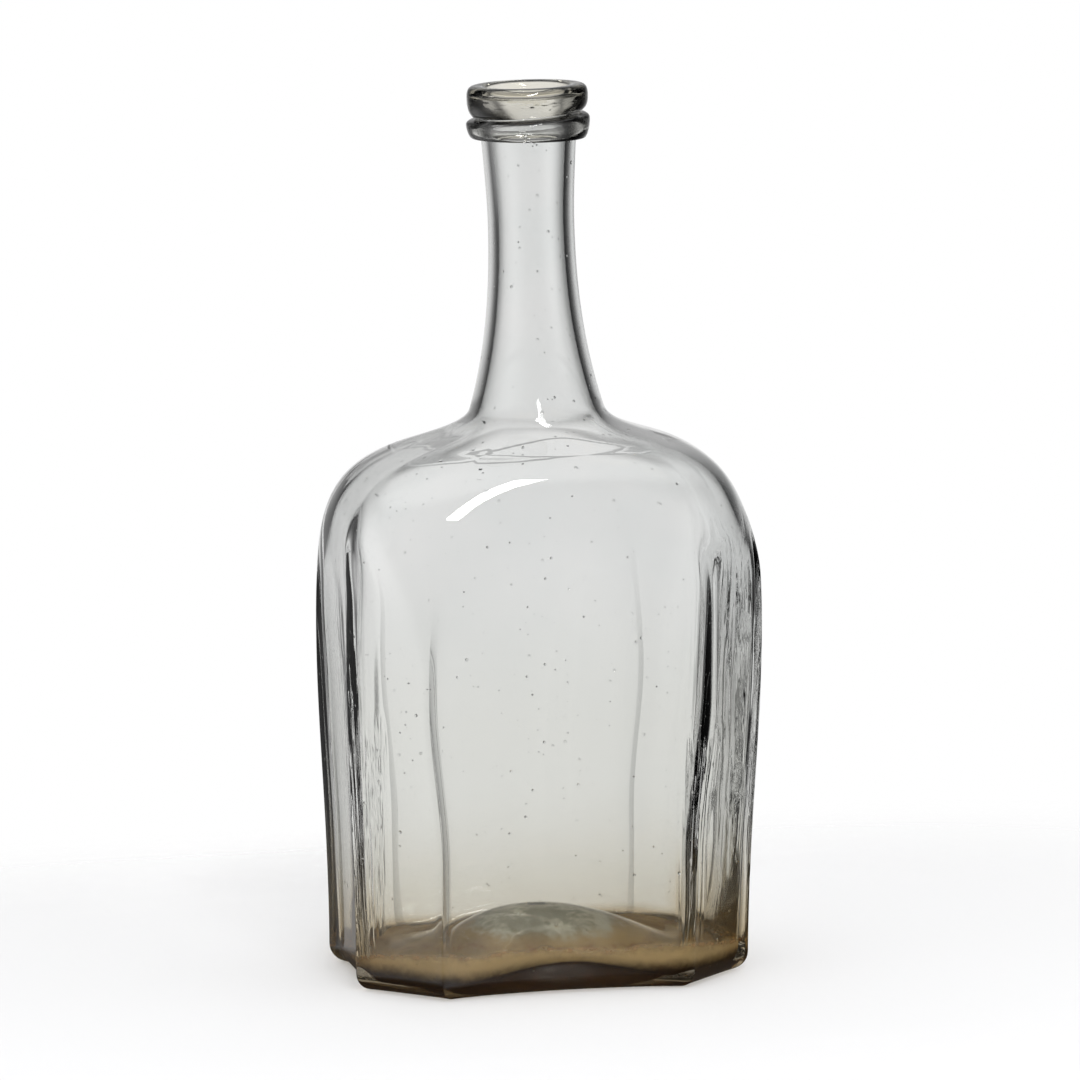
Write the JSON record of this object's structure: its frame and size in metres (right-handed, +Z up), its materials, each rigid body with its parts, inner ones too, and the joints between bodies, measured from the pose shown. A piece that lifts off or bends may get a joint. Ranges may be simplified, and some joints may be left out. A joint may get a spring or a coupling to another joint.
{
  "type": "glass carafe",
  "caption": "Flattened mould-blown clear glass carafe with canted corners, sunken panels, a pushed-up base, a slender leaning neck, a string ring and a rolled lip.",
  "frame": {"origin": "middle of the foot, on the surface that the carafe stands on", "axes": "+Z up the carafe, the two broad panels face -Y and +Y, the narrow ends face -X and +X, and the neck leans a little towards -X"},
  "size_m": [0.1237, 0.0805, 0.2604],
  "materials": {
    "blown_glass": "clear with a slight grey cast, seeds and fine scratches",
    "trailed_glass": "clear with a slight straw tint, glossy and softly rippled",
    "broken_glass": "rough broken glass, frosted"
  },
  "bodies": {
    "root": {"glass_body": "blown_glass", "lip_collar": "trailed_glass", "string_ring": "trailed_glass", "pontil_scar": "broken_glass"}
  },
  "joints": []
}
